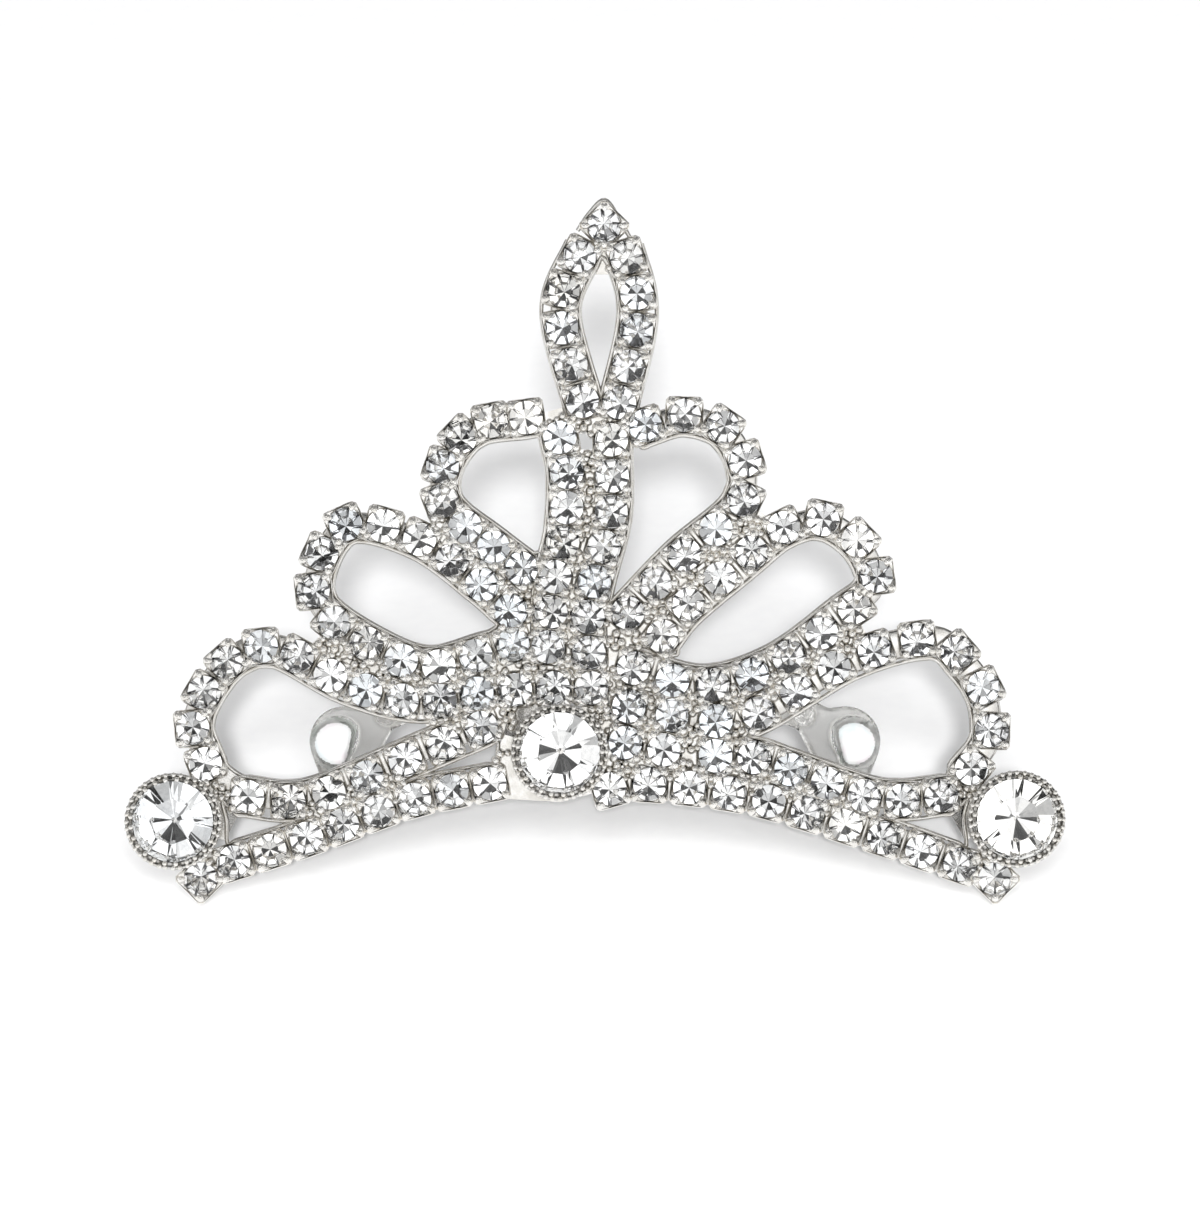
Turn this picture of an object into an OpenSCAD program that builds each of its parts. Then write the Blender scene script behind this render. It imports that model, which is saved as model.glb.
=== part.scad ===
// Pageant crown on a hair comb: rows of round stones in square cups, three large stones in
// beaded settings, and a clear comb behind. The crown is flat. It is drawn lying down, with
// x to the right, y up the crown and z towards the viewer, and then stood up and leaned back
// on its two lower tips and the two end teeth of the comb.

/* [Crown] */
// Distance between the middles of the two end settings
crown_span = 72; // [71:0.5:76]
// Height of the top stone's middle above the two lower tips
crown_rise = 58.1; // [57.1:0.5:61.1]

/* [Small stones] */
// Diameter of a small stone at its girdle
stone_d = 2.7; // [2.4:0.05:2.75]
// Width of the flat table on a small stone
stone_table = 1.5; // [1.1:0.05:1.9]
// Height of a small stone above its girdle
stone_crown = 0.55; // [0.35:0.05:0.7]
// Depth of a small stone below its girdle
stone_pavilion = 1.1; // [0.8:0.05:1.4]
// Free space left round every stone
stone_clear = 0.1; // [0.06:0.01:0.14]

/* [Cups and backing] */
// Width of a square cup
cup_w = 3.2; // [3:0.05:3.4]
// How far the cup and its corner claws stand above the girdle
claw_h = 0.3; // [0.1:0.05:0.45]
// Metal left under every stone
floor_h = 0.5; // [0.35:0.05:0.8]
// Width of the backing strip behind a row
strip_w = 2.6; // [2.2:0.1:3]
// Thickness of the backing strip
strip_h = 0.9; // [0.7:0.05:1.3]
// Shift of the backing strip towards the opening beside it
strip_shift = 0.45; // [0.2:0.05:0.6]

/* [Large stones] */
// Diameter of a large stone at its girdle
main_d = 7; // [6.4:0.1:7.2]
// Width of the flat table on a large stone
main_table = 3.9; // [3:0.1:4.6]
// Height of a large stone above its girdle
main_crown = 1; // [0.6:0.05:1.3]
// Depth of a large stone below its girdle
main_pavilion = 2.3; // [1.6:0.1:3]
// Wall of the round setting
bezel_wall = 0.45; // [0.35:0.05:0.6]
// How far the round setting stands above the girdle
bezel_lip = 0.3; // [0.1:0.05:0.5]
// Diameter of a bead on the rim of the round setting
bead_d = 0.7; // [0.5:0.05:0.9]
// Number of beads round the rim
bead_count = 32; // [24:1:36]

/* [Comb] */
// Height of the comb's spine up the crown at the middle
spine_rise = 20; // [19:0.25:21]
// Radius of the spine's arch
spine_radius = 45; // [40:1:60]
// Width of the spine, seen from the front
spine_w = 2.8; // [2.2:0.1:3.4]
// Depth of the spine, front to back
spine_depth = 3.2; // [2.4:0.1:4]
// Gap between the frame's back and the comb
comb_gap = 0.1; // [0.05:0.05:0.3]
// Distance of each end tooth from the middle
end_tooth_x = 22; // [21:0.1:23]
// Height of the end teeth up the crown
end_tooth_rise = 14.4; // [13.5:0.1:15.5]
// Diameter of an end tooth at its root
end_tooth_d = 3.2; // [2.8:0.1:3.8]
// Diameter of an end tooth at its rounded tip
end_tip_d = 2; // [1.6:0.1:2.4]
// Reach of the end teeth behind the frame, with their tips
end_reach = 28; // [22:0.5:34]
// Diameter of the rounded end of the spine round an end tooth
ear_d = 6; // [5.2:0.1:6.6]
// How far the rounded end reaches down from its centre, behind the base
ear_drop = 4.6; // [3.6:0.1:5.5]
// Width of the rounded end at its foot
ear_foot_w = 2.6; // [2:0.1:3.4]
// How far the inner side of the rounded end lies from its centre, at the top
ear_neck = 4.2; // [3.6:0.1:4.8]
// Distance between two teeth
tooth_pitch = 3.6; // [3:0.1:4.5]
// Diameter of a tooth at its root
tooth_d = 1.8; // [1.4:0.1:2.2]
// Diameter of a tooth at its rounded tip
tip_d = 0.9; // [0.6:0.1:1.2]
// Reach of the teeth behind the frame, with their tips
reach = 26; // [20:0.5:32]

/* [Hidden] */
$fn = 48;

// The crown's span and rise at which the points of the rows were chosen. The points are
// stretched from these to the crown's own span and rise.
drawn_span = 72;
drawn_rise = 58.1;

// Rows of stones: name, number of stones, how far the strip is shifted at the row's start and
// at its end (1 is left of the way along the row, -1 right of it), and the few points that
// the row runs through
ROUTES = [
    ["spire_left", 5, [1, 1], [[-1.3, 55.5], [-2.8, 52.3], [-2.8, 49.1], [-1.1, 43.1]]],
    ["spire_right", 5, [-1, -1], [[2.7, 55.4], [3.6, 52.2], [3.5, 48.9], [2.1, 43]]],
    ["column_left", 7, [-1, -1], [
        [-3, 40], [-2.4, 36.8], [-2.6, 32], [-3.5, 27.8], [-4, 22.1]]],
    ["column_right", 7, [1, 1], [
        [1.4, 39.8], [1.4, 33.5], [0, 27.9], [-0.6, 24.6], [-0.5, 21.6]]],
    ["top_left", 8, [1, 1], [
        [-5.9, 41.7], [-10.4, 40.9], [-13, 37.6], [-12.8, 34], [-8.8, 30.7], [-6.3, 28.8]]],
    ["top_right", 9, [-1, -1], [
        [4.3, 41], [7.6, 41.9], [11.2, 40.7], [13, 37.3], [12.2, 33.9], [7.3, 29.7], [2.8, 25]]],
    ["mid_left", 14, [1, 1], [
        [-7.2, 25.2], [-9.6, 27.4], [-15, 31.3], [-21, 32.7], [-23.8, 29], [-23.4, 25.2],
        [-18.2, 21.7], [-14, 20.4], [-9.4, 21.6], [-7, 22.3]]],
    ["mid_right", 15, [-1, -1], [
        [5.8, 23], [7.8, 25.5], [12.6, 29.5], [16, 32.2], [19.5, 33], [22.8, 30.8], [24, 27.3],
        [21.2, 24.8], [15.4, 20.6], [9.3, 18.8], [3.3, 20.3]]],
    ["low_left", 14, [-1, 1], [
        [-33.3, 12.1], [-34.4, 15.5], [-33, 18.9], [-30.6, 21.4], [-27.1, 22], [-21.3, 19],
        [-15.3, 17.4], [-9.3, 18.25], [-3.4, 18.6], [-0.3, 18.6]]],
    ["low_right", 12, [1, -1], [
        [32.2, 11.7], [33.8, 14], [33.6, 17.6], [31.8, 20.6], [28.8, 22.8], [21.8, 21],
        [13.5, 16.2], [9, 15.9], [2.9, 17]]],
    ["base_up_left", 7, [1, 1], [
        [-29.7, 9.3], [-26.3, 8.9], [-22.8, 9.6], [-16.3, 12.4], [-9.7, 15.2]]],
    ["base_up_right", 7, [-1, -1], [
        [29.6, 9.4], [26.3, 9], [23, 9.4], [16.7, 11.6], [13.4, 12.7], [10.3, 12.8]]],
    ["inner_right", 2, [0, 0], [[5.9, 13.3], [2.6, 13.9]]],
    ["base_low_left", 8, [0, 0], [[-30.9, 3.7], [-24.7, 5.7], [-16, 8.9], [-9, 10.4]]],
    ["base_low_right", 10, [0, 0], [
        [31.2, 3.5], [24.3, 5.9], [13.6, 9.2], [4.2, 10.4], [1.3, 9.95]]]
];

// Single places: the three large settings and the three tips, whose cups stand on a corner
SPOTS = [
    ["left_setting", stretched([-drawn_span / 2, 7.2])],
    ["centre_setting", stretched([-3, 13.1])],
    ["right_setting", stretched([drawn_span / 2, 7.4])],
    ["top_tip", stretched([0.8, drawn_rise])],
    ["left_tip", [stretched([-33.7, 0]).x, cup_w / sqrt(2)]],
    ["right_tip", [stretched([34.2, 0]).x, cup_w / sqrt(2)]]
];
SETTINGS = ["left_setting", "centre_setting", "right_setting"];
TIPS = ["top_tip", "left_tip", "right_tip"];

// Plates that fill the metal between neighbouring rows. Each is an outline of a row's name
// with its first and last stone, of single places and of a few free points.
WEBS = [
    [["top_tip"], ["spire_left", 0, 0], [-1.3, 54], [2, 54], ["spire_right", 0, 0]],
    [["top_left", 0, 0], ["spire_left", 4, 4], ["spire_right", 4, 4], ["top_right", 0, 0],
        ["column_right", 0, 0], [-0.9, 40.4], ["column_left", 0, 0]],
    [[-2.4, 39], ["column_left", 1, 6], ["column_right", 6, 1], [0.6, 39]],
    [["top_left", 4, 7], ["column_left", 4, 6], ["mid_left", 13, 13], ["mid_left", 0, 3]],
    [["column_right", 4, 6], ["mid_right", 14, 14], ["mid_right", 0, 4], ["top_right", 4, 8]],
    [["mid_left", 8, 13], ["column_left", 6, 6], ["column_right", 6, 6], ["low_left", 13, 5]],
    [["mid_right", 8, 14], ["column_right", 6, 6], ["low_left", 13, 13], ["low_right", 11, 5]],
    [["low_left", 8, 12], ["centre_setting"], ["base_up_left", 6, 5]],
    [["low_left", 11, 12], ["centre_setting"], ["base_low_left", 7, 7]],
    [["base_up_left", 1, 4], ["base_low_left", 5, 2]],
    [["base_low_left", 7, 7], [-8, 9.1], [-3, 8.8], ["base_low_right", 9, 9],
        ["centre_setting"]],
    [["base_up_right", 2, 6], ["inner_right", 0, 1], ["centre_setting"],
        ["base_low_right", 9, 3]],
    [["low_right", 8, 11], ["inner_right", 1, 0], ["base_up_right", 6, 5]],
    [["low_left", 13, 13], ["centre_setting"], ["inner_right", 1, 1], ["low_right", 11, 11]],
    [["low_left", 0, 0], ["left_setting"], ["base_up_left", 0, 0], [-31, 11.4]],
    [["low_right", 0, 0], ["right_setting"], ["base_up_right", 0, 0], [30.4, 11.2]],
    [["left_tip"], ["left_setting"], ["base_low_left", 0, 0]],
    [["right_tip"], ["right_setting"], ["base_low_right", 0, 0]]
];

// Steps on each stretch of a smooth route, the longest straight piece of a strip, and how far
// to each side of a place the way of the route is taken
route_steps = 12;
strip_step = 1.5;
way_reach = 0.4;

// Heights above the frame's flat back
stone_z = floor_h + stone_clear + stone_pavilion;
cup_h = stone_z + claw_h;
main_z = floor_h + stone_clear + main_pavilion;
bezel_h = main_z + bezel_lip;
bezel_d = main_d + 2 * (stone_clear + bezel_wall);
seat_r = stone_d / 2 + stone_clear / cos(180 / 8);

// Shares that shape the cut of a large stone: the star facets' outer points and the points
// half way down the back
star_r = 0.8;
star_z = 0.52;
lower_r = 0.4;
lower_z = 0.62;

// The crown leans back until the end teeth's tips stand on the same floor as the lower tips
tip_centre_back = end_reach - end_tip_d / 2;
tip_distance = norm([end_tooth_rise, tip_centre_back]);
lean = atan2(end_tooth_rise, tip_centre_back) - asin(end_tip_d / 2 / tip_distance);

// Front and back of the standing crown: its lower tips and the ends of the teeth
front_y = -cup_h * cos(lean);
middle_tooth_y = spine_rise * sin(lean) + (reach - tip_d / 2) * cos(lean) + tip_d / 2;
end_tooth_y = end_tooth_rise * sin(lean) + tip_centre_back * cos(lean) + end_tip_d / 2;
back_y = max(middle_tooth_y, end_tooth_y);

// The comb's ear: its centre lies a little inside and below its tooth, its foot a little
// outside its centre, and its round top turns into the straight outer side at ear_turn
ear_shift = [-0.5, -0.4];
ear_foot_shift = 0.2;
ear_turn = 20;
ear_centre = [end_tooth_x, end_tooth_rise] + ear_shift;

function stretched(p) = [p.x * crown_span / drawn_span, p.y * crown_rise / drawn_rise];

// A smooth line through a list of points
function blend(a, b, c, d, t) =
    0.5 * (2 * b + (c - a) * t + (2 * a - 5 * b + 4 * c - d) * t * t
        + (3 * b - a - 3 * c + d) * t * t * t);
function smooth(p) = [
    for (i = [0:len(p) - 2], k = [0:route_steps - 1])
        blend(p[max(i - 1, 0)], p[i], p[i + 1], p[min(i + 2, len(p) - 1)], k / route_steps),
    p[len(p) - 1]
];

// Length along a line up to each of its points, and the point at a given length
function lengths(c) = [
    for (i = 0, s = 0; i < len(c); s = s + norm(c[min(i + 1, len(c) - 1)] - c[i]), i = i + 1) s
];
function point_at(c, s, t) = [
    lookup(t, [for (i = [0:len(c) - 1]) [s[i], c[i].x]]),
    lookup(t, [for (i = [0:len(c) - 1]) [s[i], c[i].y]])
];
function angle_at(c, s, t) =
    let (d = point_at(c, s, t + way_reach) - point_at(c, s, t - way_reach)) atan2(d.y, d.x);

function named(list, name) = list[search([name], list)[0]];
function route_line(name) = smooth([for (p = named(ROUTES, name)[3]) stretched(p)]);

// Stones of a row, evenly spaced: x, y and the angle of the row there. A row takes fewer
// stones if they no longer fit.
function row(name) =
    let (
        c = route_line(name),
        s = lengths(c),
        all = s[len(s) - 1],
        n = min(named(ROUTES, name)[1], 1 + floor(all / (stone_d + stone_clear)))
    )
    [for (i = [0:n - 1]) let (t = all * i / (n - 1)) [each point_at(c, s, t), angle_at(c, s, t)]];

// Corners of a plate: the places of the chosen stones
function corners(run) =
    is_num(run[0]) ? [stretched(run)] :
    len(run) == 1 ? [named(SPOTS, run[0])[1]] :
    let (
        c = route_line(run[0]),
        s = lengths(c),
        step = s[len(s) - 1] / (named(ROUTES, run[0])[1] - 1)
    )
    [for (i = [run[1]:(run[2] < run[1] ? -1 : 1):run[2]]) point_at(c, s, step * i)];

// Points of one edge (1 left, -1 right) of the strip behind one half of a row (0 or 1), out
// past the row's end by half a strip
function strip_edge(name, half, edge) =
    let (
        shifts = named(ROUTES, name)[2],
        c = route_line(name),
        s = lengths(c),
        all = s[len(s) - 1],
        n = ceil(all / 2 / strip_step)
    )
    [for (i = [0:n])
        let (
            t = all / 2 * (half + i / n),
            a = angle_at(c, s, t),
            shift = strip_shift * (shifts[0] + (shifts[1] - shifts[0]) * t / all),
            off = shift + edge * strip_w / 2,
            out = half == 0 && i == 0 ? -strip_w / 2 : half == 1 && i == n ? strip_w / 2 : 0
        )
        point_at(c, s, t) + off * [-sin(a), cos(a)] + out * [cos(a), sin(a)]];

function reversed(list) = [for (i = [len(list) - 1:-1:0]) list[i]];
function arch_y(x) = spine_rise - spine_radius + sqrt(spine_radius * spine_radius - x * x);

// Puts the flat crown upright and leans it back, with the origin under the middle of it
module stand() {
    translate([0, -(front_y + back_y) / 2, 0])
        rotate([90 - lean, 0, 0])
            children();
}

// Places its children at each stone of a row, turned with the row
module along(name) {
    for (p = row(name))
        translate([p.x, p.y])
            rotate(p[2])
                children();
}

module at_spots(names, turn) {
    for (name = names)
        translate(named(SPOTS, name)[1])
            rotate(turn)
                children();
}

module on_every_cup() {
    for (r = ROUTES)
        along(r[0])
            children();
    at_spots(TIPS, 45)
        children();
}

// One strip of backing metal that follows a row, in two halves so that the ends of a row may
// meet
module strip_outline(name) {
    for (half = [0, 1])
        polygon(concat(
            strip_edge(name, half, 1),
            reversed(strip_edge(name, half, -1))
        ));
}

module backing_outline() {
    for (r = ROUTES)
        strip_outline(r[0]);
    for (w = WEBS)
        polygon([for (run = w) each corners(run)]);
}

// Round setting with a beaded rim, seen from the front
module bezel_outline() {
    circle(d = bezel_d);
    for (i = [0:bead_count - 1])
        rotate(i * 360 / bead_count)
            translate([bezel_d / 2, 0])
                circle(d = bead_d, $fn = 8);
}

module seat_outlines() {
    on_every_cup()
        rotate(180 / 8)
            circle(r = seat_r, $fn = 8);
    at_spots(SETTINGS, 0)
        circle(d = main_d + 2 * stone_clear);
}

// The whole soldered frame: backing strips and plates, square cups and round settings, with
// a seat sunk into it for every stone
module crown_frame() {
    color("silver")
        stand()
            difference() {
                union() {
                    linear_extrude(strip_h)
                        backing_outline();
                    linear_extrude(cup_h)
                        on_every_cup()
                            square(cup_w, center = true);
                    linear_extrude(bezel_h)
                        at_spots(SETTINGS, 0)
                            bezel_outline();
                }
                translate([0, 0, floor_h])
                    linear_extrude(bezel_h)
                        seat_outlines();
            }
}

// Small cut stone: a table, a ring of crown facets and eight facets down to the point
module small_stone() {
    top = [for (i = [0:7]) [for (f = [cos(45 * i), sin(45 * i)]) f * stone_table / 2]];
    rim = [for (i = [0:7]) [for (f = [cos(45 * i + 22.5), sin(45 * i + 22.5)]) f * stone_d / 2]];
    points = concat(
        [for (p = top) [p.x, p.y, stone_z + stone_crown]],
        [for (p = rim) [p.x, p.y, stone_z]],
        [[0, 0, stone_z - stone_pavilion]]
    );
    faces = concat(
        [[for (i = [7:-1:0]) i]],
        [for (i = [0:7]) [i, (i + 1) % 8, 8 + i]],
        [for (i = [0:7]) [i, 8 + i, 8 + (i + 7) % 8]],
        [for (i = [0:7]) [8 + i, 8 + (i + 1) % 8, 16]]
    );
    polyhedron(points, faces);
}

// Large cut stone: table, star facets, kites and girdle facets above, girdle facets and
// eight long facets below
module main_stone() {
    r = main_d / 2;
    star = [for (i = [0:7]) [cos(45 * i + 22.5), sin(45 * i + 22.5)]];
    points = concat(
        [for (i = [0:7]) [cos(45 * i) * main_table / 2, sin(45 * i) * main_table / 2,
            main_z + main_crown]],
        [for (p = star) [p.x * r * star_r, p.y * r * star_r, main_z + main_crown * star_z]],
        [for (i = [0:15]) [cos(22.5 * i) * r, sin(22.5 * i) * r, main_z]],
        [for (p = star) [p.x * r * lower_r, p.y * r * lower_r, main_z - main_pavilion * lower_z]],
        [[0, 0, main_z - main_pavilion]]
    );
    star_0 = 8;
    rim_0 = 16;
    low_0 = 32;
    point = 40;
    faces = concat(
        [[for (i = [7:-1:0]) i]],
        [for (i = [0:7]) [i, (i + 1) % 8, star_0 + i]],
        [for (i = [0:7]) [i, star_0 + i, rim_0 + 2 * i]],
        [for (i = [0:7]) [i, rim_0 + 2 * i, star_0 + (i + 7) % 8]],
        [for (i = [0:7]) [star_0 + i, rim_0 + 2 * i + 1, rim_0 + 2 * i]],
        [for (i = [0:7]) [star_0 + i, rim_0 + (2 * i + 2) % 16, rim_0 + 2 * i + 1]],
        [for (i = [0:7]) [rim_0 + 2 * i, rim_0 + 2 * i + 1, low_0 + i]],
        [for (i = [0:7]) [rim_0 + 2 * i + 1, rim_0 + (2 * i + 2) % 16, low_0 + i]],
        [for (i = [0:7]) [rim_0 + 2 * i, low_0 + i, point]],
        [for (i = [0:7]) [rim_0 + 2 * i, point, low_0 + (i + 7) % 8]]
    );
    polyhedron(points, faces);
}

module stones(names, tips = []) {
    color("white")
        stand() {
            for (name = names)
                along(name)
                    small_stone();
            at_spots(tips, 45)
                small_stone();
        }
}

module large_stone(name) {
    color("white")
        stand()
            at_spots([name], 0)
                main_stone();
}

// One tooth of the comb, straight back from the spine, with a round tip
module tooth(root_d, end_d, length) {
    mirror([0, 0, 1]) {
        cylinder(h = length - end_d / 2, d1 = root_d, d2 = end_d);
        translate([0, 0, length - end_d / 2])
            sphere(d = end_d);
    }
}

// Rounded end of the comb's spine, seen from the front, on the right-hand side: its inner
// side slants outwards on the way down
module ear_outline() {
    neck_x = ear_centre.x - ear_neck;
    foot = ear_centre + [ear_foot_shift, -ear_drop];
    translate(ear_centre)
        circle(d = ear_d);
    polygon([
        [neck_x, arch_y(neck_x)],
        [neck_x, arch_y(neck_x) - spine_w / 2],
        foot - [ear_foot_w / 2, 0],
        foot + [ear_foot_w / 2, 0],
        ear_centre + ear_d / 2 * [cos(ear_turn), -sin(ear_turn)],
        ear_centre + [0, ear_d / 2]
    ]);
}

// The arch between the ears
module spine_outline() {
    reach_x = ear_centre.x - ear_d / 4;
    intersection() {
        translate([0, spine_rise - spine_radius])
            difference() {
                circle(r = spine_radius + spine_w / 2, $fn = 180);
                circle(r = spine_radius - spine_w / 2, $fn = 180);
            }
        translate([-reach_x, 0])
            square([2 * reach_x, spine_rise + spine_w]);
    }
}

// Clear comb: an arched spine, a rounded ear at each end with a thick tooth, and a row of
// thin teeth between them
module hair_comb() {
    back = comb_gap + spine_depth;
    teeth_each_side = floor((end_tooth_x - (end_tooth_d + tooth_d) / 2) / tooth_pitch);
    color("lightcyan")
        stand() {
            translate([0, 0, -back])
                linear_extrude(spine_depth) {
                    spine_outline();
                    ear_outline();
                    mirror([1, 0])
                        ear_outline();
                }
            for (side = [-1, 1])
                translate([side * end_tooth_x, end_tooth_rise, -back + spine_depth / 4])
                    tooth(end_tooth_d, end_tip_d, end_reach - back + spine_depth / 4);
            for (i = [-teeth_each_side:teeth_each_side])
                translate([i * tooth_pitch, arch_y(i * tooth_pitch), -back + spine_depth / 4])
                    tooth(tooth_d, tip_d, reach - back + spine_depth / 4);
        }
}

crown_frame();
hair_comb();
large_stone("left_setting");  // left_stone
large_stone("centre_setting");  // centre_stone
large_stone("right_setting");  // right_stone
stones(["spire_left", "spire_right"], ["top_tip"]);  // spire_stones
stones(["column_left", "column_right"]);  // column_stones
stones(["top_left"]);  // top_left_stones
stones(["top_right"]);  // top_right_stones
stones(["mid_left"]);  // mid_left_stones
stones(["mid_right"]);  // mid_right_stones
stones(["low_left"]);  // low_left_stones
stones(["low_right"]);  // low_right_stones
stones(["base_up_left", "base_low_left"], ["left_tip"]);  // base_left_stones
stones(["base_up_right", "base_low_right", "inner_right"], ["right_tip"]);  // base_right_stones
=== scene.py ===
# Pageant crown on a clear hair comb, dressed over its fixed frame.
# Everything is first drawn lying flat, in millimetres: x to the right, u up the crown and
# w towards the viewer, with w = 0 at the frame's flat back. It is then stood up with the
# lean that the frame has.
import math
import random

import bmesh
import bpy
from mathutils import Matrix, Vector


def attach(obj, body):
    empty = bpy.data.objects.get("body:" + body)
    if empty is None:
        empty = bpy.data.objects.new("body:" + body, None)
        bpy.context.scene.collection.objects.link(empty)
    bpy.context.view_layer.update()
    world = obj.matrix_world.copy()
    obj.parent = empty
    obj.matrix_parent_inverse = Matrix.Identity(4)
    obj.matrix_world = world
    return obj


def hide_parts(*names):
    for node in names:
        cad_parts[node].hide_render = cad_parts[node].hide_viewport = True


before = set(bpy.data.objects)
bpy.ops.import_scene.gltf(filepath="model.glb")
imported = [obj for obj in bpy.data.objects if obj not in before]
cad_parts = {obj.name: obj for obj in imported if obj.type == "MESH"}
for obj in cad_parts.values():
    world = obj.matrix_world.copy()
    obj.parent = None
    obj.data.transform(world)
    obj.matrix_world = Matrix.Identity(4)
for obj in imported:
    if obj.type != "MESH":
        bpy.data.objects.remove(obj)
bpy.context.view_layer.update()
dice = random.Random(7)


# The lean and the place of the flat crown, read from the frame's back and its lowest corners

def readStand(backFacing=0.85, onFloor=1e-5):
    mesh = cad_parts["crown_frame"].data
    back = Vector()
    for face in mesh.polygons:
        if face.normal.y > backFacing:
            back += face.normal * face.area
    lean = math.atan2(-back.z, back.y)
    feet = [v.co.y for v in mesh.vertices if v.co.z < onFloor]
    return lean, sum(feet) / len(feet)


lean, footY = readStand()
standUp = (
    Matrix.Translation((0, footY, 0))
    @ Matrix.Rotation(math.pi / 2 - lean, 4, "X")
    @ Matrix.Scale(0.001, 4)      # millimetres to metres
)
print("crown leans back", round(math.degrees(lean), 2), "degrees")


# Rows of stones: how many, to which side the backing ribbon is shifted at the start and the
# end (1 is left of the way along), and the points that the row runs through

rows = {
    "spireLeft": dict(count=5, side=(1, 1), points=[
        (-1.3, 55.5), (-2.8, 52.3), (-2.8, 49.1), (-1.1, 43.1)]),
    "spireRight": dict(count=5, side=(-1, -1), points=[
        (2.7, 55.4), (3.6, 52.2), (3.5, 48.9), (2.1, 43)]),
    "columnLeft": dict(count=7, side=(-1, -1), points=[
        (-3, 40), (-2.4, 36.8), (-2.6, 32), (-3.5, 27.8), (-4, 22.1)]),
    "columnRight": dict(count=7, side=(1, 1), points=[
        (1.4, 39.8), (1.4, 33.5), (0, 27.9), (-0.6, 24.6), (-0.5, 21.6)]),
    "topLeft": dict(count=8, side=(1, 1), points=[
        (-5.9, 41.7), (-10.4, 40.9), (-13, 37.6), (-12.8, 34), (-8.8, 30.7), (-6.3, 28.8)]),
    "topRight": dict(count=9, side=(-1, -1), points=[
        (4.3, 41), (7.6, 41.9), (11.2, 40.7), (13, 37.3), (12.2, 33.9), (7.3, 29.7), (2.8, 25)]),
    "midLeft": dict(count=14, side=(1, 1), points=[
        (-7.2, 25.2), (-9.6, 27.4), (-15, 31.3), (-21, 32.7), (-23.8, 29), (-23.4, 25.2),
        (-18.2, 21.7), (-14, 20.4), (-9.4, 21.6), (-7, 22.3)]),
    "midRight": dict(count=15, side=(-1, -1), points=[
        (5.8, 23), (7.8, 25.5), (12.6, 29.5), (16, 32.2), (19.5, 33), (22.8, 30.8), (24, 27.3),
        (21.2, 24.8), (15.4, 20.6), (9.3, 18.8), (3.3, 20.3)]),
    "lowLeft": dict(count=14, side=(-1, 1), points=[
        (-33.3, 12.1), (-34.4, 15.5), (-33, 18.9), (-30.6, 21.4), (-27.1, 22), (-21.3, 19),
        (-15.3, 17.4), (-9.3, 18.25), (-3.4, 18.6), (-0.3, 18.6)]),
    "lowRight": dict(count=12, side=(1, -1), points=[
        (32.2, 11.7), (33.8, 14), (33.6, 17.6), (31.8, 20.6), (28.8, 22.8), (21.8, 21),
        (13.5, 16.2), (9, 15.9), (2.9, 17)]),
    "baseUpLeft": dict(count=7, side=(1, 1), points=[
        (-29.7, 9.3), (-26.3, 8.9), (-22.8, 9.6), (-16.3, 12.4), (-9.7, 15.2)]),
    "baseUpRight": dict(count=7, side=(-1, -1), points=[
        (29.6, 9.4), (26.3, 9), (23, 9.4), (16.7, 11.6), (13.4, 12.7), (10.3, 12.8)]),
    "innerRight": dict(count=2, side=(0, 0), points=[(5.9, 13.3), (2.6, 13.9)]),
    "baseLowLeft": dict(count=8, side=(0, 0), points=[
        (-30.9, 3.7), (-24.7, 5.7), (-16, 8.9), (-9, 10.4)]),
    "baseLowRight": dict(count=10, side=(0, 0), points=[
        (31.2, 3.5), (24.3, 5.9), (13.6, 9.2), (4.2, 10.4), (1.3, 9.95)]),
}

# The three cups that stand on a corner, and the three large round settings
tipCups = {
    "topTip": (0.8, 58.1),
    "leftTip": (-33.7, 3.2 / math.sqrt(2)),
    "rightTip": (34.2, 3.2 / math.sqrt(2)),
}
settings = {"left_stone": (-36, 7.2), "centre_stone": (-3, 13.1), "right_stone": (36, 7.4)}

# Which rows and tips each stone node of the frame holds
stoneNodes = {
    "spire_stones": (["spireLeft", "spireRight"], ["topTip"]),
    "column_stones": (["columnLeft", "columnRight"], []),
    "top_left_stones": (["topLeft"], []),
    "top_right_stones": (["topRight"], []),
    "mid_left_stones": (["midLeft"], []),
    "mid_right_stones": (["midRight"], []),
    "low_left_stones": (["lowLeft"], []),
    "low_right_stones": (["lowRight"], []),
    "base_left_stones": (["baseUpLeft", "baseLowLeft"], ["leftTip"]),
    "base_right_stones": (["baseUpRight", "baseLowRight", "innerRight"], ["rightTip"]),
}


def between(a, b, c, d, t):
    # a place from b to c on the smooth line that runs through all four
    return 0.5 * (2 * b + (c - a) * t + (2 * a - 5 * b + 4 * c - d) * t * t
                  + (3 * b - a - 3 * c + d) * t ** 3)


def smoothLine(points, steps=12):
    line = []
    last = len(points) - 1
    for i in range(last):
        a, b, c, d = (Vector(points[k]) for k in (max(i - 1, 0), i, i + 1, min(i + 2, last)))
        line += [between(a, b, c, d, k / steps) for k in range(steps)]
    line.append(Vector(points[last]))
    return line


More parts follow.
